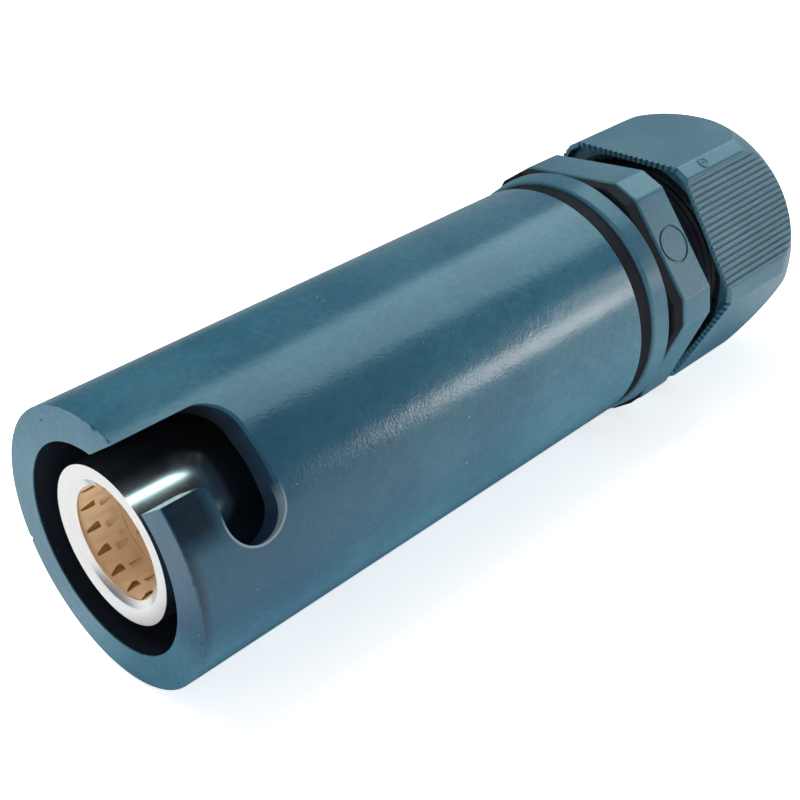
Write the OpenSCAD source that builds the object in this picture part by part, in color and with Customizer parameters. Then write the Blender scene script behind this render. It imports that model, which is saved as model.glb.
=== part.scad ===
// Single-pole power socket with a bayonet slot, a louvred socket contact and a cable gland.
// Lengths are in millimetres. X runs from the mating face back to the cable entry,
// so a depth along the connector is also its X. Z is up.

/* [Insulating shell] */
// Outside diameter of the tube
shell_d = 54; // [54:0.5:60]
// Length of the tube
shell_len = 117; // [110:1:140]
// Wall of the tube round the mating cavity
cavity_wall = 6.6; // [5:0.1:8]
// Depth of that cavity
cavity_depth = 52; // [50:1:56]
// Thickness of the web that carries the contact
web_len = 8; // [7:0.5:10]
// Wall of the tube behind the web
rear_wall = 6; // [4.5:0.1:8]
// Wall of the tube round the gland's thread
thread_wall = 3.35; // [2.5:0.05:4.5]
// Chamfer on the tube's outer edges
shell_edge = 0.5; // [0.2:0.1:1]

/* [Bayonet slot] */
// Width of the slot, the diameter of its cutter
slot_w = 12; // [10:0.5:13]
// Depth of the cutter's centre behind the mating face
slot_depth = 15; // [12:0.1:18]
// Distance of the entry leg from the slot's middle plane
slot_entry = 9.8; // [9:0.1:11]
// Distance of the closed end from the same plane, on the other side
slot_end = 3.4; // [2:0.1:6]
// Direction that the slot opens to, from +Y towards +Z
slot_angle = 151; // [140:1:160]
// Radius on the corner of the locking tongue
tongue_r = 1.6; // [0.5:0.1:2.5]

/* [Socket contact] */
// Width of the gap between the contact and the tube, for the plug's nose
mating_gap = 5; // [4:0.1:6]
// Distance from the mating face to the contact's face
contact_recess = 1.7; // [0.5:0.1:4]
// Wall of the contact round the bore for the pin
contact_wall = 4.4; // [3.6:0.1:5.4]
// Depth of that bore, from the contact's face
pin_bore_depth = 48; // [44:1:50]
// Width of the chamfer at the bore's mouth
lead_in = 1.9; // [1:0.1:2.4]
// Depth of the grooves that hold the louvre bands
band_groove = 1; // [0.9:0.05:1.2]
// Thickness of the flange
flange_len = 6; // [5:0.5:8]
// Step from the contact down to the crimp barrel
crimp_step = 1.4; // [0.6:0.1:2.4]
// Wall of the crimp barrel
crimp_wall = 3.75; // [2.5:0.05:5]
// Length of the crimp barrel behind the flange
crimp_len = 42; // [36:1:46]
// Diameter of the inspection hole
sight_hole_d = 4; // [3:0.5:5]

/* [Louvre bands] */
// Number of louvres round one band
louvre_count = 16; // [16:1:24]
// Length of one band
band_len = 8.2; // [7:0.1:8.6]
// Space between the two bands
band_space = 0.3; // [0.2:0.1:1]
// Thickness of the sheet
band_sheet = 0.28; // [0.2:0.02:0.34]
// Twist of each louvre
louvre_tilt = 10; // [6:1:11]
// Length of the closed strip at each end of a band
strip_len = 0.7; // [0.5:0.1:1.2]

/* [Contact seat] */
// Cord diameter of the O-rings in the web
o_ring_cord = 1.8; // [1.6:0.1:2]
// Diameter of the locating pin
locating_pin_d = 3; // [2:0.5:3]
// Length of the locating pin
locating_pin_len = 11; // [8:0.5:12]
// Thickness of the thrust washer
washer_t = 1.5; // [1:0.1:3]
// Length of the threaded ring that clamps the contact
clamp_ring_len = 10; // [6:1:14]
// Thickness of the seal at the bottom of the cavity
cavity_seal_t = 2.5; // [1.5:0.5:4]

/* [Collar and gaskets] */
// Length of the gasket between the tube and the collar
shell_gasket_t = 4.1; // [3:0.1:5]
// Height of the collar's front edge over the tube
collar_front = 0.5; // [0:0.05:1.5]
// Height of its rear edge over the tube
collar_rear = 0.95; // [0:0.05:2]
// Length of the collar
collar_len = 5; // [4:0.1:7]
// Length of the gasket between the collar and the hexagon
gland_gasket_t = 3.7; // [2:0.1:5]
// How far both gaskets sit below the tube and the hexagon
gasket_set = 0.2; // [0.1:0.05:1.5]

/* [Cable gland] */
// Height of the flats over the thread that screws into the tube
flat_height = 3; // [2.5:0.1:4.5]
// Height of the gland body's corner facets over its flats
body_corner = 2.4; // [1:0.1:3.4]
// Height of the dome nut's corner facets over its flats
nut_corner = 3.1; // [1:0.1:3.4]
// Length of the hexagon
hex_len = 10.1; // [8:0.1:14]
// Length of the thread that screws into the tube
spigot_len = 25.5; // [20:0.5:30]
// Wall of that thread
spigot_wall = 4.5; // [3.5:0.1:6]
// Length of the thread for the dome nut
nut_thread_len = 15.6; // [14:0.1:16]
// Diameter of the plain round recess on one flat of the gland body
mark_d = 8.6; // [5:0.1:9]

/* [Dome nut] */
// Gap between the hexagon and the dome nut
nut_gap = 6.5; // [6:0.1:8]
// Length of the dome nut
nut_len = 35.9; // [34:0.1:40]
// Wall of the nut between its thread and its flats
nut_wall = 3.4; // [2.8:0.1:4]
// Length of the dome at its end
dome_len = 19; // [14:0.5:20]
// Width of the dome's end face round the hole
dome_rim = 2.2; // [1.6:0.1:4]
// Length of the cone inside the nut
cone_len = 10.2; // [8:0.1:12]
// Width of the gap between the cable and the hole
cable_gap = 2.3; // [1.6:0.1:2.4]
// How far the nut screws each way from where it stands
nut_travel = 5; // [3:0.5:5]
// Turn of the nut's flats against those of the body
nut_turn = 5; // [0:0.5:60]
// Number of flutes on a fluted flat
flute_count = 22; // [10:1:24]
// Depth of a flute
flute_depth = 0.55; // [0.3:0.05:0.8]
// Wall of the nut round the recess in its front end
rim_wall = 1.1; // [0.9:0.1:2]
// Depth of that recess
recess_len = 2.4; // [1:0.1:3]
// Number of ratchet teeth at the bottom of the recess
tooth_count = 60; // [24:6:72]

/* [Clamping insert] */
// Depth of the cage's seat behind the hexagon
cage_depth = 5.4; // [4:0.1:6]
// Number of claws on the clamping cage
claw_count = 12; // [8:1:16]
// Width of the gap between two claws
claw_gap = 1.6; // [1:0.1:2.5]
// Wall of the gland body round the cage
cage_wall = 2.3; // [1.8:0.1:3]
// Thickness of the claws
claw_t = 3.2; // [2.4:0.1:4]
// Length of the cage's closed ring
cage_ring_len = 4.7; // [3:0.1:6]
// Thickness of a claw at its tip
claw_tip_t = 0.9; // [0.5:0.1:2]
// Wall of the seal insert round the cable
seal_wall = 2.65; // [1.8:0.05:4]
// Thickness of the slip ring
slip_ring_t = 1.5; // [1:0.1:1.8]

/* [Hidden] */
$fn = 96;

// Clearances: of a part slid into its seat, of a face beside a face, and of a running thread
slide_fit = 0.15;
face_gap = 0.05;
thread_gap = 0.3;

// Depths of the stack, from the mating face
web_x = cavity_depth;
flange_x = web_x + web_len;
washer_x = flange_x + flange_len;
clamp_ring_x = washer_x + washer_t + face_gap;
collar_x = shell_len + shell_gasket_t;
gland_gasket_x = collar_x + collar_len;
hex_x = gland_gasket_x + gland_gasket_t;
nut_thread_x = hex_x + hex_len;
nut_x = nut_thread_x + nut_gap;
nut_end_x = nut_x + nut_len;

// Radii of the tube and of the contact, from the outside in
shell_r = shell_d / 2;
cavity_r = shell_r - cavity_wall;
rear_bore_r = shell_r - rear_wall;
contact_r = cavity_r - mating_gap;
pin_bore_r = contact_r - contact_wall;
flange_r = rear_bore_r - 2 * slide_fit;
crimp_r = contact_r - crimp_step;
crimp_bore_r = crimp_r - crimp_wall;

// Radii of the gland, from the outside in
spigot_r = shell_r - thread_wall - slide_fit;
across_flats = 2 * (spigot_r + flat_height);
body_corners = across_flats + 2 * body_corner;
nut_corners = across_flats + 2 * nut_corner;
gland_bore_r = spigot_r - spigot_wall;
nut_thread_r = across_flats / 2 - nut_wall - thread_gap;
cage_seat_r = nut_thread_r - cage_wall;
cage_r = cage_seat_r - thread_gap;
cage_bore_r = cage_r - claw_t;
cable_r = cage_bore_r - slide_fit - seal_wall;
cable_hole_r = cable_r + cable_gap;
dome_end_r = cable_hole_r + dome_rim;

// The contact's bore and its bands
bore_x = contact_recess + lead_in / 2;
band_land = 0.35;
band_x = bore_x + band_land;
rear_band_x = band_x + band_len + band_space;
groove_len = 2 * band_len + band_space;
louvre_r = pin_bore_r + band_groove * 0.35;
louvre_pitch = 360 / louvre_count;
louvre_w = 2 * louvre_r * tan(louvre_pitch / 2) * 0.86;

// The contact's seals
o_ring_groove = o_ring_cord + 0.1;
o_ring_r = contact_r + slide_fit - o_ring_cord / 2 - 0.02;
o_ring_x = [web_x + web_len * 0.28, web_x + web_len * 0.68];
locating_r = (contact_r + flange_r) / 2;

// The gland's counterbore for the cage, and the nut's cone that closes the claws
thread_runout = 1.3;
ring_lap = 1.1;
cage_x = nut_thread_x + cage_depth;
cone_r = nut_thread_r + thread_gap;
cone_x = nut_thread_x + nut_thread_len + nut_travel + thread_runout;
ring_seat_r = cable_hole_r + ring_lap;
cone_slope = (cone_r - ring_seat_r) / cone_len;
ring_seat_x = cone_x + cone_len;
slip_ring_x = ring_seat_x + 2 * face_gap;
lip_x = ring_seat_x + slip_ring_t + thread_gap - nut_x;
claw_tip_r = cage_bore_r + claw_tip_t;
cage_len = cone_x - nut_travel + (cone_r - thread_gap - claw_tip_r) / cone_slope - cage_x;
claw_taper = (cage_r - claw_tip_r) / cone_slope;
tooth_len = recess_len + 2;
tooth_r = cone_r + 0.9;
tooth_depth = 1;
nut_form_r = nut_corners / 2 + 0.4;

// Lays a piece that is modelled upright along the connector's axis
module laid() rotate([0, 90, 0]) children();

// Turns a piece that is modelled upright, so that its +X points to an angle from +Y towards +Z
module facing(angle) rotate([0, 0, angle + 90]) children();

module at(x) translate([0, 0, x]) children();

module ring(r_in, r_out, len) difference() {
    cylinder(r = r_out, h = len);
    at(-1) cylinder(r = r_in, h = len + 2);
}

// A ring whose outer edges are rounded
module soft_ring(r_in, r_front, r_rear, len, edge) rotate_extrude() polygon(concat(
    [[r_in, 0]],
    [for (a = [-90:30:0]) [r_front - edge + edge * cos(a), edge + edge * sin(a)]],
    [for (a = [0:30:90]) [r_rear - edge + edge * cos(a), len - edge + edge * sin(a)]],
    [[r_in, len]]
));

// A hexagon with its corners cut to facets, one flat facing straight down
module faceted_hexagon(flats, corners) intersection() {
    rotate(30) circle(d = flats / cos(30), $fn = 6);
    circle(d = corners / cos(30), $fn = 6);
}

// The slot as it is milled, in the plane of the tangent at its middle
module slot_outline() {
    translate([-slot_entry - slot_w / 2, -1]) square([slot_w, slot_depth + 1]);
    translate([-slot_entry, slot_depth]) circle(d = slot_w);
    translate([-slot_entry, slot_depth - slot_w / 2]) square([slot_entry + slot_end, slot_w]);
    translate([slot_end, slot_depth]) circle(d = slot_w);
    translate([-slot_entry + slot_w / 2, slot_depth - slot_w / 2]) difference() {
        translate([0, -tongue_r]) square(tongue_r);
        translate([tongue_r, -tongue_r]) circle(r = tongue_r, $fn = 32);
    }
}

module shell_body() rotate_extrude() polygon([
    [cavity_r + shell_edge / 2, 0],
    [shell_r - shell_edge, 0],
    [shell_r, shell_edge],
    [shell_r, shell_len - shell_edge],
    [shell_r - shell_edge, shell_len],
    [spigot_r + slide_fit, shell_len],
    [spigot_r + slide_fit, hex_x - spigot_len - 1],
    [rear_bore_r, hex_x - spigot_len - 1],
    [rear_bore_r, flange_x],
    [contact_r + slide_fit, flange_x],
    [contact_r + slide_fit, web_x],
    [cavity_r, web_x],
    [cavity_r, shell_edge / 2]
]);

module insulating_shell() color("#3b6075") laid() difference() {
    shell_body();
    facing(slot_angle) rotate([90, 0, 90]) linear_extrude(shell_d) slot_outline();
    facing(-90) translate([locating_r, 0, flange_x + flange_len - locating_pin_len - 0.5])
        cylinder(d = locating_pin_d + 0.1, h = locating_pin_len, $fn = 32);
}

module contact_body() rotate_extrude() polygon([
    [0, contact_recess + pin_bore_depth + 3],
    [pin_bore_r, contact_recess + pin_bore_depth],
    [pin_bore_r, band_x + groove_len + 2 * face_gap],
    [pin_bore_r + band_groove, band_x + groove_len + 2 * face_gap],
    [pin_bore_r + band_groove, band_x],
    [pin_bore_r, band_x],
    [pin_bore_r, bore_x],
    [pin_bore_r + lead_in, contact_recess],
    [contact_r - 0.4, contact_recess],
    [contact_r, contact_recess + 0.4],
    [contact_r, flange_x],
    [flange_r, flange_x],
    [flange_r, washer_x],
    [crimp_r, washer_x],
    [crimp_r, washer_x + crimp_len - 0.8],
    [crimp_r - 0.8, washer_x + crimp_len],
    [crimp_bore_r + 1, washer_x + crimp_len],
    [crimp_bore_r, washer_x + crimp_len - 1],
    [crimp_bore_r, washer_x],
    [0, washer_x - 3]
]);

module socket_contact() color("#d9dcde") laid() difference() {
    contact_body();
    for (x = o_ring_x)
        at(x - o_ring_groove / 2) ring(contact_r + slide_fit - o_ring_groove, contact_r + 1, o_ring_groove);
    facing(-90) translate([locating_r, 0, flange_x - 1])
        cylinder(d = locating_pin_d + 0.1, h = flange_len + 2, $fn = 32);
    facing(90) at(washer_x + 4) rotate([0, 90, 0]) cylinder(d = sight_hole_d, h = 2 * crimp_r, $fn = 32);
}

// One louvre of a band, a blade of sheet twisted out of the strip's plane
module louvre() translate([louvre_r, 0, band_len / 2]) rotate([0, 0, louvre_tilt])
    cube([band_sheet, louvre_w, band_len - strip_len], center = true);

module louvre_band(x) color("#c8995a") laid() at(x + face_gap) {
    for (end = [0, band_len - strip_len])
        at(end) ring(pin_bore_r + band_groove - 0.07 - band_sheet, pin_bore_r + band_groove - 0.07,
            strip_len);
    for (i = [0:louvre_count - 1])
        facing(11.4 + i * louvre_pitch) louvre();
}

module front_louvre_band() louvre_band(band_x);

module rear_louvre_band() louvre_band(rear_band_x);

module contact_o_rings() color("#1a1a1c") laid() for (x = o_ring_x)
    at(x) rotate_extrude() translate([o_ring_r, 0]) circle(d = o_ring_cord, $fn = 32);

module locating_pin() color("#b8babc") laid() facing(-90)
    translate([locating_r, 0, flange_x + flange_len - locating_pin_len])
        cylinder(d = locating_pin_d, h = locating_pin_len - face_gap, $fn = 32);

module thrust_washer() color("#c9cbcc") laid() at(washer_x + face_gap)
    ring(crimp_r + slide_fit, flange_r, washer_t - face_gap);

module clamp_ring() color("#26323a") laid() at(clamp_ring_x) difference() {
    ring(crimp_r + 1, rear_bore_r - slide_fit, clamp_ring_len);
    for (a = [0:90:270])
        rotate(a) translate([crimp_r - 1, -2, clamp_ring_len - 3]) cube([rear_bore_r, 4, 4]);
}

module cavity_seal() color("#1b1c1e") laid() at(web_x - cavity_seal_t)
    soft_ring(contact_r + slide_fit, cavity_r - slide_fit, cavity_r - slide_fit,
        cavity_seal_t - face_gap, 0.6);

module shell_gasket() color("#17181a") laid() at(shell_len + face_gap)
    soft_ring(spigot_r + slide_fit, shell_r - gasket_set, shell_r - gasket_set,
        shell_gasket_t - 2 * face_gap, 0.5);

// The gasket under the hexagon has its outline
module gland_gasket() color("#17181a") laid() at(gland_gasket_x + face_gap) difference() {
    linear_extrude(gland_gasket_t - 2 * face_gap)
        faceted_hexagon(across_flats - 2 * gasket_set, body_corners - 2 * gasket_set);
    at(-1) cylinder(r = spigot_r + slide_fit, h = gland_gasket_t + 2);
}

module collar_ring() color("#5b8ea5") laid() at(collar_x)
    soft_ring(spigot_r + slide_fit, shell_r + collar_front, shell_r + collar_rear, collar_len, 0.7);

module gland_body() color("#5f93a8") laid() difference() {
    union() {
        at(hex_x - spigot_len) cylinder(r = spigot_r, h = spigot_len + 1);
        intersection() {
            at(hex_x) linear_extrude(hex_len) faceted_hexagon(across_flats, body_corners);
            at(hex_x) rotate_extrude() polygon([
                [0, 0], [body_corners / 2 - 0.5, 0], [body_corners / 2 + 0.5, 1],
                [body_corners / 2 + 0.5, hex_len - 1], [body_corners / 2 - 0.5, hex_len], [0, hex_len]
            ]);
        }
        at(nut_thread_x - 1) cylinder(r = nut_thread_r, h = nut_thread_len + 1);
    }
    at(hex_x - spigot_len - 1) cylinder(r = gland_bore_r, h = spigot_len + hex_len + nut_thread_len + 2);
    at(cage_x - slide_fit) cylinder(r = cage_seat_r, h = nut_thread_len + nut_travel);
    facing(150) translate([across_flats / 2 - 0.4, 0, hex_x + hex_len / 2])
        rotate([0, 90, 0]) ring(mark_d / 2 - 0.6, mark_d / 2, 2);
}

module clamping_cage() color("#2d3c45") laid() difference() {
    at(cage_x) rotate_extrude() polygon([
        [cage_bore_r, 0],
        [cage_r, 0],
        [cage_r, cage_len - claw_taper],
        [claw_tip_r, cage_len],
        [cage_bore_r, cage_len]
    ]);
    for (i = [0:claw_count - 1])
        rotate(i * 360 / claw_count) translate([0, -claw_gap / 2, cage_x + cage_ring_len])
            cube([shell_d, claw_gap, cage_len]);
}

module seal_insert() color("#202326") laid() at(cage_x + slide_fit) rotate_extrude() polygon(concat(
    [[cable_r + 1.2, 0], [cage_bore_r - slide_fit, 0]],
    [[cage_bore_r - slide_fit, cage_len - 0.5], [cable_r + 1.2, cage_len - 0.5]],
    [for (i = [6:-1:0], side = [1, 0]) [cable_r + side * 0.6, (cage_len - 2) * i / 6 + 0.6 + side * 0.3]]
));

module slip_ring() color("#cfd3d4") laid() at(slip_ring_x)
    ring(cable_r + cable_gap / 2, ring_seat_r - thread_gap, slip_ring_t);

// Half-width of a fluted flat, and the outline of one V-shaped flute across it
fluted_w = across_flats * tan(30) * 0.98;
flute_w = fluted_w / flute_count;

module flutes() for (flat = [0:2], i = [0:flute_count - 1])
    rotate(nut_turn + 120 * flat) translate([across_flats / 2, (i + 0.5) * flute_w - fluted_w / 2])
        polygon([[1, -flute_w / 2], [0, -flute_w * 0.42], [-flute_depth, 0], [0, flute_w * 0.42], [1, flute_w / 2]]);

module nut_outline() difference() {
    rotate(nut_turn) faceted_hexagon(across_flats, nut_corners);
    flutes();
}

// The dome is a quarter of an ellipse
module nut_form() rotate_extrude() polygon(concat(
    [[0, 0], [nut_form_r - 1.1, 0], [nut_form_r, 1.1]],
    [for (a = [0:9:90]) [
        dome_end_r + (nut_form_r - dome_end_r) * cos(a),
        nut_len - dome_len * (1 - sin(a))
    ]],
    [[0, nut_len]]
));

module nut_inside() rotate_extrude() polygon([
    [0, -1],
    [tooth_r, -1],
    [tooth_r, tooth_len],
    [cone_r, tooth_len + 0.6],
    [cone_r, cone_x - nut_x],
    [ring_seat_r, ring_seat_x - nut_x],
    [ring_seat_r, lip_x],
    [cable_hole_r, lip_x],
    [cable_hole_r, nut_len - 1.2],
    [cable_hole_r + 1.2, nut_len],
    [cable_hole_r + 1.2, nut_len + 1],
    [0, nut_len + 1]
]);

// The recess follows the nut's flats and corners
module nut_recess() at(-1) linear_extrude(recess_len + 1) rotate(nut_turn)
    faceted_hexagon(across_flats - 2 * rim_wall, nut_corners - 2 * rim_wall);

// The ratchet teeth, cut as a star
module nut_teeth() at(-1) linear_extrude(tooth_len + 1) polygon([
    for (i = [0:tooth_count - 1], tip = [0, 1])
        let (a = (i + tip / 2) * 360 / tooth_count, r = tooth_r - 0.3 + tooth_depth * (1 - tip)) [r * cos(a), r * sin(a)]
]);

module dome_nut() color("#5f93a8") laid() at(nut_x) difference() {
    intersection() {
        linear_extrude(nut_len) nut_outline();
        nut_form();
    }
    nut_inside();
    nut_recess();
    nut_teeth();
}

insulating_shell();
socket_contact();
front_louvre_band();
rear_louvre_band();
contact_o_rings();
locating_pin();
thrust_washer();
clamp_ring();
cavity_seal();
shell_gasket();
collar_ring();
gland_gasket();
gland_body();
clamping_cage();
seal_insert();
slip_ring();
dome_nut();
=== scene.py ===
# %% [markdown]
# # A single-pole power socket
# The object is a heavy moulded tube with a bayonet slot at its front. Inside stands a silver-plated
# contact, whose bore holds two bands of gilded spring louvres. At the rear a cable gland is screwed in:
# a collar between two gaskets, a hexagon, and a fluted dome nut. All lengths below are in millimetres,
# and depths are counted along +X from the mating face, as in the construction model.

# %% Load the construction model
import math

import bpy
from mathutils import Matrix, Vector


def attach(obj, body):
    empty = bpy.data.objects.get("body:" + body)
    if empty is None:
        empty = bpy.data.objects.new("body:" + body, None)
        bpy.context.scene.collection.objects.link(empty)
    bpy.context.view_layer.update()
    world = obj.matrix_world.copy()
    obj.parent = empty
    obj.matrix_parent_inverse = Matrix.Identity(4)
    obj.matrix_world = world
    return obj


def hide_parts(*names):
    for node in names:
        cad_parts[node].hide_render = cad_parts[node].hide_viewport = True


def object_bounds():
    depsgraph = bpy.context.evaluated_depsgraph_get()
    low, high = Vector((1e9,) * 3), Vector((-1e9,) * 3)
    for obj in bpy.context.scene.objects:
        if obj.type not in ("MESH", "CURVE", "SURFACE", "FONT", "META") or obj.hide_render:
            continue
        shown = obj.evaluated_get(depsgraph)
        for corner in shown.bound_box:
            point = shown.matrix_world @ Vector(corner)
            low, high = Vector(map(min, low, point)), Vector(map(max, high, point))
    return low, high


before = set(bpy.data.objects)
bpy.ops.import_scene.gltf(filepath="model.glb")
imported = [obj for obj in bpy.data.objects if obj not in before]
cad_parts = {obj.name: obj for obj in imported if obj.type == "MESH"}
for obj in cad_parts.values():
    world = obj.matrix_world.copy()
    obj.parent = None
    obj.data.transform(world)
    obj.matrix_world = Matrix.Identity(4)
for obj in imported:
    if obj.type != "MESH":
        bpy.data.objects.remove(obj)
construction_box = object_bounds()
MM = 0.001

# %% [markdown]
# ## Small helpers
# Every operator acts on what is selected, so each step begins by clearing the selection and picking its
# own object. A piece is finished when its modifiers are applied and its object sits at the origin.

# %% Pick, settle and modify


def fresh():
    """Leaves edit mode and clears the selection."""
    if bpy.context.object and bpy.context.object.mode != "OBJECT":
        bpy.ops.object.mode_set(mode="OBJECT")
    bpy.ops.object.select_all(action="DESELECT")


def pick(*pieces):
    """Selects the pieces, the first of them active."""
    fresh()
    for piece in pieces:
        piece.select_set(True)
    bpy.context.view_layer.objects.active = pieces[0]
    return pieces[0]


def modify(piece, kind, **settings):
    """Adds a modifier with its settings and applies it."""
    pick(piece)
    bpy.ops.object.modifier_add(type=kind)
    modifier = piece.modifiers[-1]
    for key, value in settings.items():
        setattr(modifier, key, value)
    bpy.ops.object.modifier_apply(modifier=modifier.name)
    return piece


def edit(piece, mode="VERT"):
    """Opens a piece for editing with everything in it selected."""
    pick(piece)
    bpy.ops.object.mode_set(mode="EDIT")
    bpy.ops.mesh.select_mode(type=mode)
    bpy.ops.mesh.select_all(action="SELECT")


def close_up(piece, gap=1e-6):
    """Merges doubled corners, turns all faces outwards and leaves edit mode."""
    bpy.ops.mesh.select_all(action="SELECT")
    bpy.ops.mesh.remove_doubles(threshold=gap)
    bpy.ops.mesh.normals_make_consistent(inside=False)
    fresh()
    return piece


# %% [markdown]
# ## Outlines, turned pieces and straight pieces
# Nearly every piece here is turned or has a constant section, so both start in one way: a circle
# primitive with as many corners as the outline needs, each corner set to its place. A turned piece is
# that outline spun once round the connector's axis. A straight piece is the outline filled and extruded.

# %% From an outline to a solid


def outline(name, corners):
    """A closed wire with its corners at the given places, in millimetres."""
    fresh()
    bpy.ops.mesh.primitive_circle_add(vertices=len(corners), radius=0.01)
    wire = bpy.context.object
    wire.name = wire.data.name = name
    for vertex, corner in zip(wire.data.vertices, corners):
        vertex.co = Vector(corner) * MM
    return wire


def turned(name, profile, steps=192):
    """A solid of revolution from (depth, radius) pairs."""
    piece = outline(name, [(x, 0, r) for x, r in profile])
    edit(piece)
    bpy.ops.mesh.spin(steps=steps, angle=2 * math.pi, center=(0, 0, 0), axis=(1, 0, 0))
    return close_up(piece)


def straight(name, corners, way):
    """A solid with a constant section: the corners, filled and extruded along the vector way."""
    piece = outline(name, corners)
    edit(piece)
    bpy.ops.mesh.edge_face_add()
    bpy.ops.mesh.extrude_region_move(TRANSFORM_OT_translate={"value": Vector(way) * MM})
    return close_up(piece)


def arc(centre, radius, first, last, steps):
    """Points on an arc, from one angle to another in degrees."""
    angles = [math.radians(first + (last - first) * i / steps) for i in range(steps + 1)]
    return [(centre[0] + radius * math.cos(a), centre[1] + radius * math.sin(a)) for a in angles]


# %% [markdown]
# Directions round the axis are angles from +Y towards +Z, so 90 degrees is up and 270 is the floor.

# %% Directions round the axis


def out(angle, radius=1.0, depth=0.0):
    """The place at this radius, angle and depth."""
    a = math.radians(angle)
    return Vector((depth, radius * math.cos(a), radius * math.sin(a)))


def along(angle):
    """The direction across that radius, towards a growing angle."""
    a = math.radians(angle)
    return Vector((0, -math.sin(a), math.cos(a)))


def copies(piece, angles):
    """Copies of the piece turned round the axis by these angles, joined into one."""
    made = []
    for angle in angles:
        twin = piece.copy()
        twin.data = piece.data.copy()
        bpy.context.collection.objects.link(twin)
        twin.rotation_euler = (math.radians(angle), 0, 0)
        made.append(twin)
    bpy.data.objects.remove(piece)
    pick(*made)
    bpy.ops.object.transform_apply(location=True, rotation=True, scale=True)
    bpy.ops.object.join()
    return bpy.context.object


def stand_on(piece, angle, radius, depth):
    """Turns a small piece that was made round +X to point outwards at this angle, and moves it there."""
    upright = out(angle).to_track_quat("X", "Z").to_matrix().to_4x4()
    piece.matrix_world = Matrix.Translation(out(angle, radius, depth) * MM) @ upright
    pick(piece)
    bpy.ops.object.transform_apply(location=True, rotation=True, scale=True)
    return piece


def carve(piece, tool, operation="DIFFERENCE"):
    """Cuts a piece with a tool, or joins the two, and throws the tool away."""
    modify(piece, "BOOLEAN", object=tool, operation=operation, solver="EXACT")
    bpy.data.objects.remove(tool)
    return piece


def soften(piece, width, segments=3, angle=40, smooth=35):
    """Rounds the sharp edges of a piece and shades it smooth between those that are left.

    The large faces keep their own direction, so a narrow rounding doesn't bend reflections beside it.
    """
    if width:
        modify(piece, "BEVEL", width=width * MM, segments=segments, limit_method="ANGLE",
               angle_limit=math.radians(angle), miter_outer="MITER_ARC")
    pick(piece)
    bpy.ops.object.shade_smooth_by_angle(angle=math.radians(smooth))
    return modify(piece, "WEIGHTED_NORMAL", keep_sharp=True)


# %% [markdown]
# ## Finishes as arithmetic
# A finish is a small sum: a base colour, a little grain, a mask or two. The class below wraps a node's
# output, so that ordinary arithmetic on it adds the Math nodes. Any other node comes from `add`.

# %% Signals and finishes


class Signal:
    """The output of one shader node."""

    def __init__(self, finish, socket):
        self.finish, self.socket = finish, socket

    def math(self, operation, first, second=0.0):
        return self.finish.add("ShaderNodeMath", {"operation": operation}, {0: first, 1: second})

    def __add__(self, other):
        return self.math("ADD", self, other)

    def __sub__(self, other):
        return self.math("SUBTRACT", self, other)

    def __rsub__(self, other):
        return self.math("SUBTRACT", other, self)

    def __mul__(self, other):
        return self.math("MULTIPLY", self, other)

    def __truediv__(self, other):
        return self.math("DIVIDE", self, other)

    def __lt__(self, other):
        return self.math("LESS_THAN", self, other)

    def __gt__(self, other):
        return self.math("GREATER_THAN", self, other)

    __radd__ = __add__


class Finish:
    """A node tree that is being built."""

    def __init__(self, owner):
        owner.use_nodes = True
        self.owner, self.tree = owner, owner.node_tree

    def add(self, kind, settings=None, inputs=None, output=0):
        node = self.tree.nodes.new(kind)
        for key, value in (settings or {}).items():
            if key == "stops":
                self.set_stops(node.color_ramp.elements, value)
            else:
                setattr(node, key, value)
        self.feed(node, inputs or {})
        return Signal(self, node.outputs[output])

    def set_stops(self, elements, stops):
        for element, (place, level) in zip((elements[0], elements[1]), (stops[0], stops[-1])):
            element.position, element.color = place, (level, level, level, 1)
        for place, level in stops[1:-1]:
            elements.new(place).color = (level, level, level, 1)

    def feed(self, node, inputs):
        for key, value in inputs.items():
            if isinstance(value, Signal):
                self.tree.links.new(value.socket, node.inputs[key])
            else:
                node.inputs[key].default_value = value

    def place(self):
        """The place on the piece."""
        return self.add("ShaderNodeTexCoord", output="Object")

    def grain(self, size, detail=2.0, vector=None):
        """Noise whose features are about size millimetres across."""
        return self.add("ShaderNodeTexNoise", {}, {"Vector": vector or self.place(),
                        "Scale": 1.0 / (size * MM), "Detail": detail})

    def steps(self, signal, stops):
        return self.add("ShaderNodeValToRGB", {"stops": stops}, {0: signal})

    def blend(self, share, first, second):
        return self.add("ShaderNodeMix", {"data_type": "RGBA"}, {0: share, 6: first, 7: second}, 2)

    def bump(self, height, strength, distance):
        return self.add("ShaderNodeBump", {}, {"Height": height, "Strength": strength,
                        "Distance": distance * MM})

    def parts(self):
        """The place along X, Y and Z, in millimetres: X is the depth behind the mating face."""
        node = self.add("ShaderNodeSeparateXYZ", {}, {0: self.place()}).socket.node
        return [Signal(self, node.outputs[i]) / MM for i in range(3)]

    def length(self, across, up):
        """The length of a step across and up."""
        return self.add("ShaderNodeMath", {"operation": "SQRT"}, {0: across * across + up * up})

    def between(self, signal, low, high):
        """Goes from 0 at low to 1 at high."""
        return self.add("ShaderNodeMapRange", {"clamp": True}, {0: signal, 1: low, 2: high, 3: 0.0, 4: 1.0})


def finish_named(name, inputs, build=None):
    """A new surface finish. The plain values are set on the shader; build returns the varying ones."""
    finish = Finish(bpy.data.materials.new(name))
    shader = finish.tree.nodes["Principled BSDF"]
    finish.feed(shader, inputs)
    if build:
        finish.feed(shader, build(finish))
    return finish.owner


def linear(red, green, blue):
    """A screen colour, 0 to 255, as the shader wants it."""
    return tuple(((c / 255 + 0.055) / 1.055) ** 2.4 for c in (red, green, blue)) + (1.0,)


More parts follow.
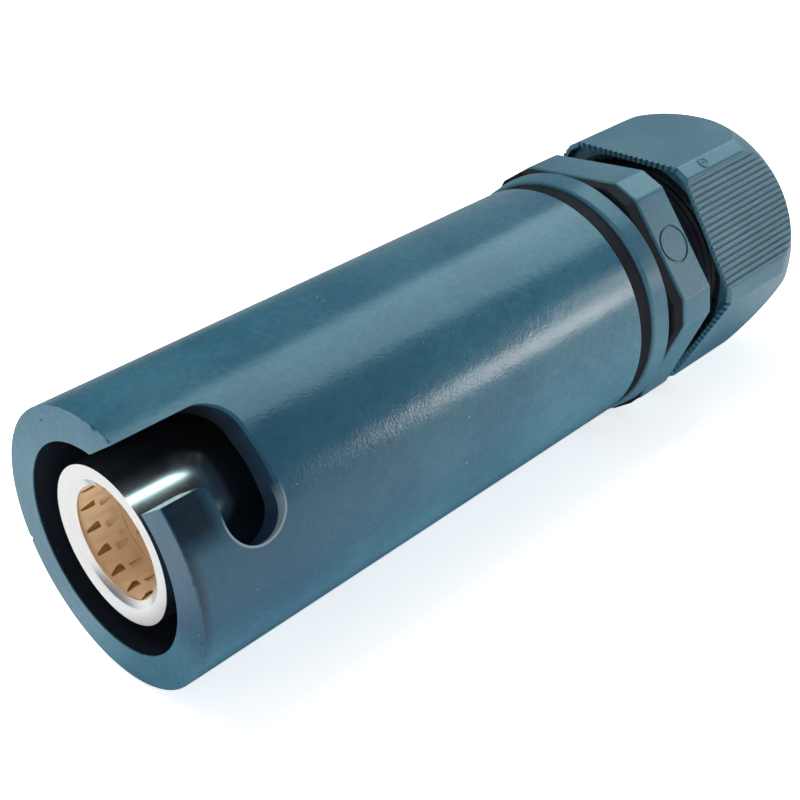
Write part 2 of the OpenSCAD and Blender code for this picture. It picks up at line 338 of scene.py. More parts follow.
# %% [markdown]
# ### Moulded plastics
# The tube is a slate-blue polyamide with a satin skin: a fine grain that breaks up the highlights, faint
# clouds in the colour, and some dust. The gland is the same sort of plastic in a lighter teal. Inside,
# within the radius `deep` and between the two depths of `dark`, the colour is painted nearly black as shade.

# %% Moulded plastic
PAINTED_INSIDE_SHADE, DUST = linear(28, 33, 42), linear(150, 170, 178)


def moulded(base, cloud, grain_size, grain_strength, gloss, dust, deep, dark, painted_marks=None):
    def build(finish):
        clouds = finish.grain(22, 3) * 0.6 + finish.grain(1.2, 3) * 0.4
        colour = finish.blend(finish.steps(clouds, [(0.38, 0), (0.62, 1)]), base, cloud)
        depth, y, z = finish.parts()
        # painted shade: within the radius deep and between the depths of dark the colour goes nearly black
        inside = finish.between(finish.length(y, z), deep + 0.4, deep)
        inside = inside * (depth > dark[0]) * (depth < dark[1])
        colour = finish.blend(inside, colour, PAINTED_INSIDE_SHADE)
        if painted_marks:
            colour = painted_marks(finish, colour, depth, y, z)
        specks = finish.grain(0.8, 1) > (1 - dust)
        skin = finish.grain(grain_size, 2)
        wear = finish.grain(6, 4)
        return {
            "Base Color": finish.blend(specks * 0.35, colour, DUST),
            "Roughness": gloss + wear * 0.1 + specks * 0.2,
            "Normal": finish.bump(skin + finish.grain(5, 2) * 1.5, grain_strength, 0.05),
        }
    return build


# %% [markdown]
# The tube carries painted shade and light. On the side of the slot a painted shade darkens it towards the
# front; the front rim on that side is darker, and the tongue beside the slot carries a painted dark
# reflection. A painted highlight lies along the slot's edge round its end. The sizes of the slot are needed
# for that, so they stand here: its angle round the axis, its width, its depth, how far its entry and its end
# lie from its middle, and the rounding of the tongue.

# %% Shade painted on the tube, and the two plastics
SLOT_ANGLE, SLOT_W, SLOT_DEPTH, SLOT_ENTRY, SLOT_END, TONGUE_R = 151.0, 12.0, 15.0, 9.8, 3.4, 1.6
# colours for the painted side shade, the darker rim and tongue, and the painted edge highlight
PAINTED_SIDE_SHADE, RIM_AND_TONGUE_DARK, PAINTED_EDGE_HIGHLIGHT = linear(30, 62, 88), linear(24, 27, 38), linear(150, 166, 174)


def painted_tube_shading(finish, colour, depth, y, z):
    # painted shade: darker on the slot's side, fading out towards the rear
    side_shade = finish.between(y, -9, -20) * finish.between(z, -15, -6) * finish.between(depth, 88, 22)
    colour = finish.blend(side_shade * 0.62, colour, PAINTED_SIDE_SHADE)
    # darker along the front rim on the slot's side; at the tongue beside the slot a painted dark reflection
    rim = finish.between(depth, 2.4, 0.8) * 0.6
    side = finish.between(y, -13, -19) * finish.between(z, -18, 0)
    tongue = finish.between(depth, 9.5, 6.5) * finish.between(z, 7, 11) * finish.between(y, -15, -17)
    tongue = tongue * (0.68 + finish.grain(4, 3) * 0.35)
    rim_and_tongue_dark = (rim * side).math("MAXIMUM", rim * side, tongue) * (depth > 0.3)
    colour = finish.blend(rim_and_tongue_dark, colour, RIM_AND_TONGUE_DARK)
    # painted highlight: a pale line along the slot's edge round its end
    slot = math.radians(SLOT_ANGLE)
    across = z * math.cos(slot) - y * math.sin(slot)
    outward = y * math.cos(slot) + z * math.sin(slot)
    reach = finish.length(across - SLOT_END, depth - SLOT_DEPTH)
    edge = (reach > SLOT_W / 2 - 0.1) * (reach < SLOT_W / 2 + 0.4) * finish.between(across, 1.5, 4.5)
    return finish.blend(edge * (outward > 24) * 0.6, colour, PAINTED_EDGE_HIGHLIGHT)


shell_plastic = finish_named("shell_plastic", {"IOR": 1.5}, moulded(
    linear(48, 95, 117), linear(64, 113, 131), 0.5, 0.7, 0.13, 0.2, deep=25.4, dark=(0.25, 117),
    painted_marks=painted_tube_shading))
gland_plastic = finish_named("gland_plastic", {"IOR": 1.5}, moulded(
    linear(54, 98, 118), linear(68, 113, 131), 0.4, 0.25, 0.26, 0.18, deep=25.2, dark=(139, 164)))

# %% [markdown]
# ### Metals, rubber and the hidden plastics
# The contact is turned, so its silver carries very fine rings round the axis. The louvre sheet is
# gilded and duller. The gaskets are black rubber, which the photograph shows as almost no light at all.

# %% Silver, gold, steel, rubber and inner plastics


def turned_metal(base, tint, gloss, ring_size, ring_strength):
    def build(finish):
        depth, y, z = finish.parts()
        rings = finish.add("ShaderNodeCombineXYZ", {}, {0: depth * MM, 1: finish.length(y, z) * MM})
        marks = finish.grain(ring_size, 2, rings)
        clouds = finish.steps(finish.grain(4, 3), [(0.4, 0), (0.7, 1)])
        return {
            "Base Color": finish.blend(clouds, base, tint),
            "Roughness": gloss + marks * 0.08,
            "Normal": finish.bump(marks, ring_strength, 0.02),
        }
    return build


def plain_grain(base, tint, gloss, grain_size, strength):
    def build(finish):
        clouds = finish.steps(finish.grain(8, 2), [(0.35, 0), (0.7, 1)])
        return {
            "Base Color": finish.blend(clouds, base, tint),
            "Roughness": gloss + finish.grain(3, 3) * 0.12,
            "Normal": finish.bump(finish.grain(grain_size, 2), strength, 0.04),
        }
    return build


def gilded(base, tint, hollow, gloss, grain_size, strength):
    """Pale gold. The lining behind the first row of windows is painted dark amber as shade, lit by the sheet
    alone.
    """
    def build(finish):
        made = plain_grain(base, tint, gloss, grain_size, strength)(finish)
        depth, y, z = finish.parts()
        # painted shade in the windows: dark amber behind the first row, paler gold behind the second
        amber = finish.blend(depth > SECOND_ROW, hollow, tint)
        made["Base Color"] = finish.blend(finish.length(y, z) > SHADE_LINING_R, made["Base Color"], amber)
        return made
    return build


SHADE_LINING_R, SECOND_ROW = 11.89, 7.2
silver_plate = finish_named("silver_plate", {"Metallic": 1.0}, turned_metal(
    (1.0, 1.0, 0.99, 1), (0.95, 0.95, 0.94, 1), 0.16, 0.25, 0.12))
gold_plate = finish_named("gold_plate", {"Metallic": 0.2}, gilded(
    (1.0, 0.79, 0.54, 1), (0.96, 0.70, 0.45, 1), (0.48, 0.24, 0.04, 1), 0.45, 0.3, 0.2))
steel = finish_named("steel", {"Metallic": 1.0}, turned_metal(
    (0.60, 0.61, 0.62, 1), (0.52, 0.53, 0.55, 1), 0.22, 0.3, 0.2))
black_rubber = finish_named("black_rubber", {"IOR": 1.45, "Specular IOR Level": 0.2}, plain_grain(
    (0.004, 0.005, 0.009, 1), (0.007, 0.008, 0.013, 1), 0.6, 0.4, 0.3))
inner_plastic = finish_named("inner_plastic", {"IOR": 1.5}, plain_grain(
    (0.018, 0.032, 0.042, 1), (0.026, 0.042, 0.052, 1), 0.4, 0.35, 0.2))
slip_plastic = finish_named("slip_plastic", {"IOR": 1.5}, plain_grain(
    (0.62, 0.63, 0.61, 1), (0.54, 0.55, 0.53, 1), 0.4, 0.35, 0.2))
FINISHES = {"shell_plastic": shell_plastic, "gland_plastic": gland_plastic, "silver_plate": silver_plate,
            "gold_plate": gold_plate, "steel": steel, "black_rubber": black_rubber,
            "inner_plastic": inner_plastic, "slip_plastic": slip_plastic}
print("finishes:", ", ".join(FINISHES))

# %% [markdown]
# ## Where the pieces end up
# Each new piece rides on the body that carries it, stands for its solid in the construction model, and
# takes its finish from a named slot, so a piece is dressed as soon as it is made.

# %% Hand a piece to its body


def hand_over(piece, slot, body, *nodes):
    """Dresses a piece and lets it ride on its body, in place of its nodes."""
    piece.data.materials.clear()
    piece.data.materials.append(FINISHES[slot])
    pick(piece)
    bpy.ops.object.transform_apply(location=True, rotation=True, scale=True)
    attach(piece, body)
    if nodes:
        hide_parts(*nodes)
    print(piece.name, len(piece.data.polygons), "faces, rides on", body)


# %% [markdown]
# ## The camera
# The photograph was measured first: the two rims of the tube and the flats of the gland give the place
# of the camera beside the front end, its height and its lens.

# %% Camera
camera_place = Vector((-93.27, -182.00, 124.38))
YAW, PITCH, TILT = math.radians(44.32), math.radians(33.48), math.radians(8.4)
SENSOR, LENS = 36, 61.54
sight = Vector((math.cos(PITCH) * math.cos(YAW), math.cos(PITCH) * math.sin(YAW), -math.sin(PITCH)))
right = sight.cross(Vector((0, 0, 1))).normalized()
above = right.cross(sight)
turn = Matrix.Rotation(TILT, 3, "X")
axes = [turn @ v for v in (right, above, -sight)]
camera = bpy.data.objects.new("camera", bpy.data.cameras.new("camera"))
bpy.context.collection.objects.link(camera)
camera.matrix_world = Matrix.Translation(camera_place * MM) @ Matrix(axes).transposed().to_4x4()
camera.data.sensor_width = SENSOR
camera.data.lens = LENS
camera.data.clip_start = 0.01
bpy.context.scene.camera = camera
print("camera at", [round(c, 1) for c in camera_place], "mm")

# %% [markdown]
# ## The insulating shell
# The shell is one thick tube. Its front half is the mating cavity, then comes a web that carries the
# contact, and its rear takes the gland's thread. It is turned from its section, and the bayonet slot is
# cut with a tool of the same outline as the milling cutter's path. Use has chipped the rims in a dozen
# places. Each chip is listed by its angle, its distance from the axis and its size.

# %% Sizes of the shell
SHELL_R, SHELL_LEN = 27.0, 117.0
CAVITY_R, WEB_X, FLANGE_X = 20.4, 52.0, 60.0
WEB_BORE_R, REAR_BORE_R, SPIGOT_SEAT_R, SPIGOT_SEAT_X = 15.55, 21.0, 23.65, 103.3

# %% The slot's outline


def slot_path():
    """The slot seen from outside: pairs of distance across and depth, counter-clockwise."""
    half = SLOT_W / 2
    tongue = -SLOT_ENTRY + half
    return (
        [(-SLOT_ENTRY - half, -3)]
        + arc((-SLOT_ENTRY, SLOT_DEPTH), half, 180, 90, 14)
        + arc((SLOT_END, SLOT_DEPTH), half, 90, -90, 28)
        + arc((tongue + TONGUE_R, SLOT_DEPTH - half - TONGUE_R), TONGUE_R, 90, 180, 6)
        + [(tongue, -3)]
    )


def slot_tool():
    across, outward = along(SLOT_ANGLE), out(SLOT_ANGLE)
    corners = [outward * 4 + across * t + Vector((x, 0, 0)) for t, x in slot_path()]
    return straight("slot_tool", corners, outward * 40)


# %% Turn the shell and cut the slot
shell = turned("shell", [
    (0.0, CAVITY_R), (0.0, SHELL_R), (SHELL_LEN, SHELL_R), (SHELL_LEN, SPIGOT_SEAT_R),
    (SPIGOT_SEAT_X, SPIGOT_SEAT_R), (SPIGOT_SEAT_X, REAR_BORE_R), (FLANGE_X, REAR_BORE_R),
    (FLANGE_X, WEB_BORE_R), (WEB_X, WEB_BORE_R), (WEB_X, CAVITY_R)], steps=240)
carve(shell, slot_tool())
edit(shell)
close_up(shell, 0.12 * MM)
soften(shell, 0.3)

# %% Chip its rims
CHIPS = [(99, 27.1, 0.5), (105, 27.0, 0.75), (113, 27.1, 0.55), (344, 27.2, 0.7), (143, 27.2, 0.6),
         (171, 27.1, 0.5), (197, 27.2, 0.5), (267, 20.3, 0.6), (257, 20.2, 0.8), (246, 20.2, 0.6),
         (66, 24.5, 0.42), (62, 23.4, 0.25)]
nicks = []
for angle, radius, size in CHIPS:
    fresh()
    spot = out(angle, radius, -0.1) * MM
    bpy.ops.mesh.primitive_ico_sphere_add(subdivisions=1, radius=size * MM, location=spot)
    nicks.append(bpy.context.object)
    edit(nicks[-1])
    bpy.ops.transform.resize(value=(0.8, 1.4, 0.9), center_override=spot)
pick(*nicks)
bpy.ops.object.transform_apply(location=True, rotation=True, scale=True)
bpy.ops.object.join()
carve(shell, nicks[0])
soften(shell, 0)
hand_over(shell, "shell_plastic", "housing", "insulating_shell")

# %% [markdown]
# ## The socket contact
# One turned bar: a tube with a wide lead-in at its mouth, a groove for the louvre bands, a flange that
# is clamped against the web, and the crimp barrel behind it.

# %% Sizes of the contact
CONTACT_R, CONTACT_X, BORE_R, BORE_X, LEAD_IN = 15.4, 1.7, 11.0, 2.65, 1.9
BAND_X, GROOVE_R, GROOVE_END, BORE_END = 3.0, 12.0, 19.8, 49.7
FLANGE_R, FLANGE_END, CRIMP_R, CRIMP_BORE_R, CRIMP_END = 20.7, 66.0, 14.0, 10.25, 108.0
SIGHT_X, SIGHT_R = 72.0, 2.0

# %% Turn the contact
contact = turned("contact", [
    (BORE_END + 3, 0), (BORE_END, BORE_R), (GROOVE_END, BORE_R), (GROOVE_END, GROOVE_R),
    (BAND_X, GROOVE_R), (BAND_X, BORE_R), (BORE_X, BORE_R), (CONTACT_X + 0.35, BORE_R + LEAD_IN - 0.55),
    (CONTACT_X, BORE_R + LEAD_IN), (CONTACT_X, CONTACT_R), (FLANGE_X, CONTACT_R), (FLANGE_X, FLANGE_R),
    (FLANGE_END, FLANGE_R), (FLANGE_END, CRIMP_R), (CRIMP_END, CRIMP_R), (CRIMP_END, CRIMP_BORE_R),
    (FLANGE_END, CRIMP_BORE_R), (FLANGE_END - 3, 0)], steps=192)
sight_hole = [(x, y, 8) for x, y in arc((SIGHT_X, 0), SIGHT_R, 0, 345, 23)]
carve(contact, straight("sight_hole", sight_hole, (0, 0, 10)))
soften(contact, 0.3)
hand_over(contact, "silver_plate", "housing", "socket_contact")

# %% [markdown]
# ## The louvre bands
# A band is a strip of gilded spring sheet bent into a ring. Each louvre is a blade twisted out of the
# strip, so one of its edges stands proud into the bore, and a small fin-shaped window opens beside it.
# The band is turned with fine rows, its blades are tilted by moving the rows in and out, and the
# windows are cut with one fin-shaped tool, copied round. A thin lining stands behind the windows to carry
# painted shade.

# %% One louvre band
LOUVRES, BAND_LEN, SHEET = 16, 8.2, 0.28
STRIP, BLADE_LIFT, FIRST_LOUVRE = 0.75, 0.32, 20.4
FIN = [(0.0, 0.0), (0.5, 0.0), (0.9, 0.8), (1.3, 1.6), (1.45, 2.2), (1.3, 2.7), (0.7, 2.9), (0.0, 2.9)]


def fin(depth, side):
    """The tool for one window: narrow at the strip, widening like a fin towards the middle of the band."""
    start = depth + STRIP if side > 0 else depth + BAND_LEN - STRIP
    angle = FIRST_LOUVRE + 180 / LOUVRES
    corners = [out(angle, 10, start + side * x) + along(angle) * (side * (t - 0.3)) for t, x in FIN]
    return straight("fin", corners, out(angle) * 3)


def louvre_band(name, depth):
    blades = [STRIP + 0.2 + (BAND_LEN - 2 * STRIP - 0.4) * i / 10 for i in range(11)]
    rows = [0, STRIP * 0.9] + blades + [BAND_LEN - STRIP * 0.9, BAND_LEN]
    r_out = GROOVE_R - 0.12
    outside = [(depth + x, r_out) for x in rows]
    inside = [(depth + x, r_out - SHEET) for x in rows[::-1]]
    band = turned(name, outside + inside, steps=LOUVRES * 16)
    for vertex in band.data.vertices:
        x, y, z = vertex.co / MM
        share = min(1.0, max(0.0, min(x - depth - STRIP, depth + BAND_LEN - STRIP - x) / 1.2))
        turn_share = ((math.degrees(math.atan2(z, y)) - FIRST_LOUVRE) / 360 * LOUVRES) % 1.0
        lift = -BLADE_LIFT * share * min(turn_share / 0.85, (1 - turn_share) / 0.15)
        scale = 1 + lift / math.hypot(y, z)
        vertex.co = Vector((x, y * scale, z * scale)) * MM
    for side in (1, -1):
        carve(band, copies(fin(depth, side), [360 * i / LOUVRES for i in range(LOUVRES)]))
    # the lining is a thin sheet that only carries the painted shade behind the windows
    ends, radii = (depth + 0.4, depth + BAND_LEN), (SHADE_LINING_R + 0.02, SHADE_LINING_R + 0.08)
    shade_lining = turned("shade_lining", [(ends[0], radii[0]), (ends[0], radii[1]), (ends[1], radii[1]),
                               (ends[1], radii[0])])
    pick(band, shade_lining)
    bpy.ops.object.join()
    return soften(band, 0, smooth=40)


hand_over(louvre_band("front_band", BAND_X + 0.05), "gold_plate", "housing", "front_louvre_band")
hand_over(louvre_band("rear_band", BAND_X + BAND_LEN + 0.15), "gold_plate", "housing", "rear_louvre_band")

# %% [markdown]
# ## Gaskets and collar
# Two rubber gaskets clamp the collar between the shell and the hexagon. They are set back a little, so
# that they read as dark grooves.

# %% Gaskets and collar
COLLAR_X, COLLAR_END, HEX_X, SPIGOT_R, GASKET_SET = 121.1, 126.1, 129.8, 23.5, 0.2


def soft_ring(name, x0, x1, r_in, r_front, r_rear, edge):
    """A ring with rounded outer edges, its outside tapering from r_front to r_rear."""
    front = arc((x0 + edge, r_front - edge), edge, 180, 90, 8)
    rear = arc((x1 - edge, r_rear - edge), edge, 90, 0, 8)
    return turned(name, [(x0, r_in)] + front + rear + [(x1, r_in)])


gasket = soft_ring("front_gasket", SHELL_LEN + 0.05, COLLAR_X - 0.05, SPIGOT_R + 0.15,
                   SHELL_R - GASKET_SET, SHELL_R - GASKET_SET, 0.6)
hand_over(soften(gasket, 0), "black_rubber", "housing", "shell_gasket")
collar = soft_ring("collar", COLLAR_X, COLLAR_END, SPIGOT_R + 0.15, SHELL_R + 0.5, SHELL_R + 0.95, 0.7)
hand_over(soften(collar, 0), "gland_plastic", "housing", "collar_ring")

# %% [markdown]
# ## The gland body
# A hexagon with its corners cut to facets, one flat down, between two threads. The rear thread shows in
# the gap before the dome nut, so it is a true helix. The round groove on one flat is plain.

# %% The hexagon and its bore
HEX_END, NUT_THREAD_R, NUT_THREAD_END, ACROSS_FLATS = 139.9, 22.8, 155.5, 53.0
BODY_CORNER_R, GLAND_BORE_R, CAGE_SEAT_R, CAGE_SEAT_X, SPIGOT_X = 28.9, 19.0, 20.5, 145.15, 104.3
THREAD_PITCH, THREAD_DEPTH, BODY_TURN = 2.0, 0.9, 150


def faceted_hexagon(first_flat, flat_r, facet_r):
    """The corners of a hexagon whose own corners are cut off: (angle of the side, place on it)."""
    half_flat = (facet_r - flat_r * math.cos(math.pi / 6)) / math.sin(math.pi / 6)
    places = []
    for side in range(6):
        angle = first_flat + 60 * side
        places += [(angle, -half_flat), (angle, half_flat)]
    return places


def body_section(depth, set_back=0.0):
    flat_r = ACROSS_FLATS / 2 - set_back
    sides = faceted_hexagon(BODY_TURN, flat_r, BODY_CORNER_R - set_back)
    return [out(a, flat_r, depth) + along(a) * t for a, t in sides]


rear_gasket = straight("rear_gasket", body_section(COLLAR_END + 0.05, GASKET_SET),
                       (HEX_X - COLLAR_END - 0.1, 0, 0))
soften(rear_gasket, 0.5, 3, 20)
gasket_bore = [(120, 0), (120, SPIGOT_R + 0.15), (135, SPIGOT_R + 0.15), (135, 0)]
carve(rear_gasket, turned("gasket_bore", gasket_bore, 96))
hand_over(soften(rear_gasket, 0), "black_rubber", "housing", "gland_gasket")
gland = straight("gland", body_section(HEX_X), (HEX_END - HEX_X, 0, 0))
soften(gland, 0.55, 3, 20)
carve(gland, turned("core", [
    (SPIGOT_X, 0), (SPIGOT_X, SPIGOT_R), (HEX_X + 1, SPIGOT_R), (HEX_X + 1, NUT_THREAD_R - THREAD_DEPTH),
    (NUT_THREAD_END, NUT_THREAD_R - THREAD_DEPTH), (NUT_THREAD_END, 0)], 128), "UNION")
carve(gland, turned("bore", [
    (SPIGOT_X - 1, 0), (SPIGOT_X - 1, GLAND_BORE_R), (CAGE_SEAT_X, GLAND_BORE_R), (CAGE_SEAT_X, CAGE_SEAT_R),
    (NUT_THREAD_END + 1, CAGE_SEAT_R), (NUT_THREAD_END + 1, 0)], 128))

# %% The plain groove on the flat
GROOVE_IN, GROOVE_OUT, MARK_DEPTH = 3.7, 4.3, 0.35
mark = turned("mark", [(0, GROOVE_IN), (0, GROOVE_OUT), (2, GROOVE_OUT), (2, GROOVE_IN)], 64)
carve(gland, stand_on(mark, BODY_TURN, ACROSS_FLATS / 2 - MARK_DEPTH, (HEX_X + HEX_END) / 2))
soften(gland, 0, smooth=30)

# %% The helix, joined to the body
FOOT_R = NUT_THREAD_R - THREAD_DEPTH - 0.3
helix = outline("helix", [(HEX_END - 2 + x, 0, r) for x, r in (
    (0, FOOT_R), (0.75, NUT_THREAD_R), (1.05, NUT_THREAD_R), (1.8, FOOT_R))])
modify(helix, "SCREW", axis="X", angle=2 * math.pi, screw_offset=THREAD_PITCH * MM, iterations=8,
       steps=96, render_steps=96, use_merge_vertices=False)
edit(helix)
bpy.ops.mesh.select_all(action="DESELECT")
bpy.ops.mesh.select_non_manifold()
bpy.ops.mesh.edge_face_add()
close_up(helix)
soften(helix, 0, smooth=40)
pick(gland, helix)
bpy.ops.object.join()
hand_over(gland, "gland_plastic", "housing", "gland_body")

# %% [markdown]
# ## The dome nut
# The nut's section is again a faceted hexagon, turned five degrees against the body. Every other flat is
# fluted for grip, with wide rounded ridges and narrow grooves. The section is extruded, cut to the dome
# by a turned form, and hollowed by a turned tool and a star for the ratchet teeth. Its rim stands round a
# shallow recess and is serrated, and one facet carries a small raised ring, left by the mould.

# %% Sizes of the nut
NUT_X, NUT_LEN, NUT_TURN, NUT_CORNER_R, NUT_FORM_R = 146.4, 35.9, 155.0, 29.6, 30.0
DOME_LEN, DOME_END_R, HOLE_R = 19.0, 18.7, 16.5
FLUTES, FLUTE_DEPTH = 22, 0.55
RIM_WALL, RECESS_LEN, NOTCH = 1.1, 2.4, 0.8
TEETH, TOOTH_LEN, TOOTH_DEPTH = 60, 4.4, 1.0
PIP_ANGLE, PIP_X = 125, 155
NUT_BORE_R, CONE_X, RING_SEAT_R, RING_SEAT_X, LIP_X = 23.1, 161.8, 17.6, 172.0, 173.8


def fluted_edge(angle, half_flat):
    """One fluted flat: grooves across it, with rounded ridges between them."""
    pitch = ACROSS_FLATS * math.tan(math.pi / 6) * 0.98 / FLUTES
    groove = [(-0.42, 0.06), (-0.3, 0.16), (-0.2, 0.34), (-0.08, 1.0), (0.08, 1.0), (0.2, 0.34),
              (0.3, 0.16), (0.42, 0.06)]
    corners = []
    for i in range(1, FLUTES - 1):
        middle = (i + 0.5 - FLUTES / 2) * pitch
        for place, share in groove:
            if abs(middle + place * pitch) < half_flat - 0.15:
                corners.append(out(angle, ACROSS_FLATS / 2 - FLUTE_DEPTH * share, NUT_X) +
                               along(angle) * (middle + place * pitch))
    return corners


def nut_section():
    """The section, its corners eased where two sides meet."""
    corners = []
    ease = 0.35
    for i, (angle, t) in enumerate(faceted_hexagon(NUT_TURN, ACROSS_FLATS / 2, NUT_CORNER_R)):
        side = 1 if t > 0 else -1
        on_flat = out(angle, ACROSS_FLATS / 2, NUT_X) + along(angle) * (t - side * ease)
        corner = out(angle, ACROSS_FLATS / 2, NUT_X) + along(angle) * t
        on_facet = corner + along(angle + 30 * side) * (side * ease)
        eased = [on_flat, (on_flat + on_facet) / 4 + corner / 2, on_facet]
        corners += eased[::side]
        if i % 4 == 0:
            corners += fluted_edge(angle, -t - ease)
    return corners


def recess_section():
    flat_r = ACROSS_FLATS / 2 - RIM_WALL
    return [out(a, flat_r, NUT_X - 1) + along(a) * t
            for a, t in faceted_hexagon(NUT_TURN, flat_r, NUT_CORNER_R - RIM_WALL)]


def rim_notches():
    """The tool that serrates the rim between the fluted flats: one V, copied round."""
    start = NUT_TURN + 60
    shape = [(-0.48, -0.5), (0.48, -0.5), (0.4, 0.0), (0.0, NOTCH), (-0.4, 0.0)]
    corners = [out(start, 23, NUT_X + x) + along(start) * t for t, x in shape]
    notch = straight("notch", corners, out(start) * 9)
    return copies(notch, [120 * flat + step for flat in range(3) for step in range(-27, 28, 3)])


# %% Extrude, dome and hollow the nut
nut = straight("nut", nut_section(), (NUT_LEN, 0, 0))
dome = [(NUT_X + NUT_LEN - DOME_LEN * (1 - s), DOME_END_R + (NUT_FORM_R - DOME_END_R) * c)
        for c, s in arc((0, 0), 1, 0, 88, 40)]
carve(nut, turned("dome", [(NUT_X, 0), (NUT_X, NUT_FORM_R - 1.1), (NUT_X + 1.1, NUT_FORM_R)] + dome +
                  [(NUT_X + NUT_LEN, DOME_END_R), (NUT_X + NUT_LEN, 0)], 192), "INTERSECT")
carve(nut, turned("hollow", [
    (NUT_X - 1, 0), (NUT_X - 1, NUT_BORE_R + 0.9), (NUT_X + TOOTH_LEN, NUT_BORE_R + 0.9),
    (NUT_X + TOOTH_LEN + 0.6, NUT_BORE_R), (CONE_X, NUT_BORE_R), (RING_SEAT_X, RING_SEAT_R),
    (LIP_X, RING_SEAT_R), (LIP_X, HOLE_R), (NUT_X + NUT_LEN - 1.2, HOLE_R),
    (NUT_X + NUT_LEN - 0.35, HOLE_R + 0.35), (NUT_X + NUT_LEN, HOLE_R + 1.2),
    (NUT_X + NUT_LEN + 1, HOLE_R + 1.2), (NUT_X + NUT_LEN + 1, 0)], 160))
star = [out(360 * (i + tip / 2) / TEETH, NUT_BORE_R + 0.6 + TOOTH_DEPTH * (1 - tip), NUT_X - 1)
        for i in range(TEETH) for tip in (0, 1)]
carve(nut, straight("star", star, (TOOTH_LEN + 1, 0, 0)))
carve(nut, straight("recess", recess_section(), (RECESS_LEN + 1, 0, 0)))
carve(nut, rim_notches())
pip = turned("pip", [(-0.6, 0.0), (-0.6, 1.45), (0.12, 1.45), (0.28, 1.3), (0.28, 1.05), (0.1, 0.95),
                     (0.1, 0.45), (0.3, 0.25), (0.3, 0.0)], 40)
carve(nut, stand_on(pip, PIP_ANGLE, NUT_CORNER_R, PIP_X), "UNION")
soften(nut, 0, smooth=28)
hand_over(nut, "gland_plastic", "dome_nut", "dome_nut")

# %% [markdown]
# ## Inside the gland
# Through the cable hole one looks at the slip ring, the claws of the clamping cage and the ribbed seal.

# %% Slip ring, cage and seal
slip = turned("slip_washer", [(172.1, 15.35), (172.1, 17.3), (173.6, 17.3), (173.6, 15.35)], 128)
hand_over(soften(slip, 0.2), "slip_plastic", "slip_ring", "slip_ring")
DRESS = {
    "contact_o_rings": "black_rubber", "locating_pin": "steel", "thrust_washer": "steel",
    "clamp_ring": "inner_plastic", "cavity_seal": "black_rubber", "clamping_cage": "inner_plastic",
    "seal_insert": "black_rubber",
}
for node, slot in DRESS.items():
    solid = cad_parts[node]
    for holder in solid.material_slots:
        holder.material = FINISHES[slot]
    print(node, "wears", slot)

# %% [markdown]
# ## The studio
# A white table, which also glows a little and so lights the object from below. A broad box overhead gives
# the wide sheen along the top, and a strip low to the right draws the thin bright line along the tube. A
# small card beside it brightens one flat of the hexagon, and a soft lamp fills the front. The key lamp
# and a low one at the gland light without shining. Between the lamps the room is dark, as the polished
# barrel shows in the slot. In reflections the table is pale beside the object and dark under it and far
# away, so the tube's upper and lower edges keep their colour.

# %% Table
FLOOR_Z = construction_box[0].z
TABLE_GLOW, TABLE_SEEN = 1.10, 0.70
fresh()
bpy.ops.mesh.primitive_plane_add(size=6, location=(0, 0, FLOOR_Z))
table_top = bpy.context.object
table_top.name = "table_top"
bpy.ops.object.transform_apply(location=True, rotation=True, scale=True)
surface = Finish(bpy.data.materials.new("table_white"))
shader = surface.tree.nodes["Principled BSDF"]
path = surface.add("ShaderNodeLightPath").socket.node.outputs
camera_ray, glossy_ray = Signal(surface, path["Is Camera Ray"]), Signal(surface, path["Is Glossy Ray"])
y = surface.parts()[1]
beside = surface.between(y, 0, 20) * surface.between(y, 180, 80) + surface.between(y, -14, -22)
reflected = surface.blend(beside, (0.24, 0.25, 0.26, 1), (0.80, 0.80, 0.80, 1))
white = surface.blend(glossy_ray, (0.86, 0.87, 0.88, 1), reflected)
glow = (1 - glossy_ray) * TABLE_GLOW + camera_ray * (TABLE_SEEN - TABLE_GLOW)
surface.feed(shader, {"Base Color": white, "Roughness": 0.6, "Specular IOR Level": 0.2,
                      "Emission Color": (1, 1, 1, 1), "Emission Strength": glow})
table_top.data.materials.append(surface.owner)

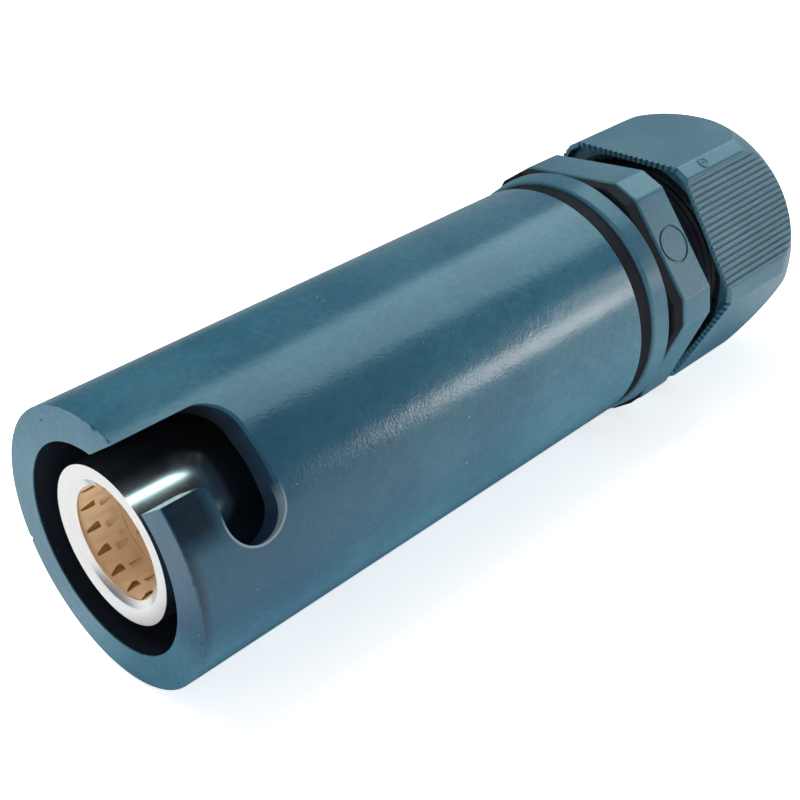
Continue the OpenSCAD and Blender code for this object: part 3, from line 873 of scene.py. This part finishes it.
# %% Room
room = Finish(bpy.context.scene.world or bpy.data.worlds.new("room"))
bpy.context.scene.world = room.owner
way = room.add("ShaderNodeSeparateXYZ", {}, {0: room.add("ShaderNodeTexCoord", output="Generated")})
east, north, height = (Signal(room, way.socket.node.outputs[i]) for i in range(3))
path = room.add("ShaderNodeLightPath").socket.node.outputs
camera_ray, glossy_ray = Signal(room, path["Is Camera Ray"]), Signal(room, path["Is Glossy Ray"])
walls = room.steps(height, [(0.0, 0.15), (0.12, 0.04), (0.4, 0.012), (1.0, 0.02)])
far_wall = room.steps(east, [(0.55, 0), (0.8, 0.4)]) * (north > 0)
air = 0.40 + north * 0.38
strength = camera_ray + (1 - camera_ray) * (glossy_ray * (walls + far_wall) + (1 - glossy_ray) * air)
room.feed(room.tree.nodes["Background"], {"Color": (1, 1, 1, 1), "Strength": strength})

# %% Lamps


def softbox(name, way, distance, width, height, radiance, colour=(1, 1, 1), shine=True, light=True):
    """An area lamp in the direction way from the middle of the connector, its width along the tube."""
    middle = Vector((70, 0, 0)) * MM
    lamp = bpy.data.objects.new(name, bpy.data.lights.new(name, "AREA"))
    bpy.context.collection.objects.link(lamp)
    back = Vector(way).normalized()
    side = Vector((1, 0, 0))
    side = (side - back * side.dot(back)).normalized()
    up = back.cross(side)
    lamp.matrix_world = Matrix.Translation(middle + back * distance) @ \
        Matrix((side, up, back)).transposed().to_4x4()
    lamp.data.shape, lamp.data.color = "RECTANGLE", colour
    lamp.data.size, lamp.data.size_y = width, height
    lamp.data.energy = radiance * math.pi * width * height
    lamp.visible_glossy, lamp.visible_diffuse = shine, light
    return lamp


softbox("overhead", (0.61, -0.05, 0.79), 1.0, 1.3, 0.66, 2.4, (0.7, 0.97, 1.0), light=False)
softbox("strip", (0.685, -0.725, 0.105), 1.3, 0.34, 0.24, 8.0, (1.0, 0.97, 0.93))
softbox("key", (0.10, 0.42, 0.90), 1.1, 1.2, 1.0, 2.9, shine=False)
softbox("side_card", (0.76, -0.585, 0.250), 1.3, 0.24, 0.17, 4.2)
softbox("side_fill", (0.96, -0.25, 0.10), 0.9, 0.5, 0.2, 6.0, shine=False)
softbox("front_fill", (-0.96, -0.10, 0.30), 0.9, 0.6, 0.6, 1.05)

# %% Colour management and the end
bpy.context.scene.view_settings.view_transform = "Standard"
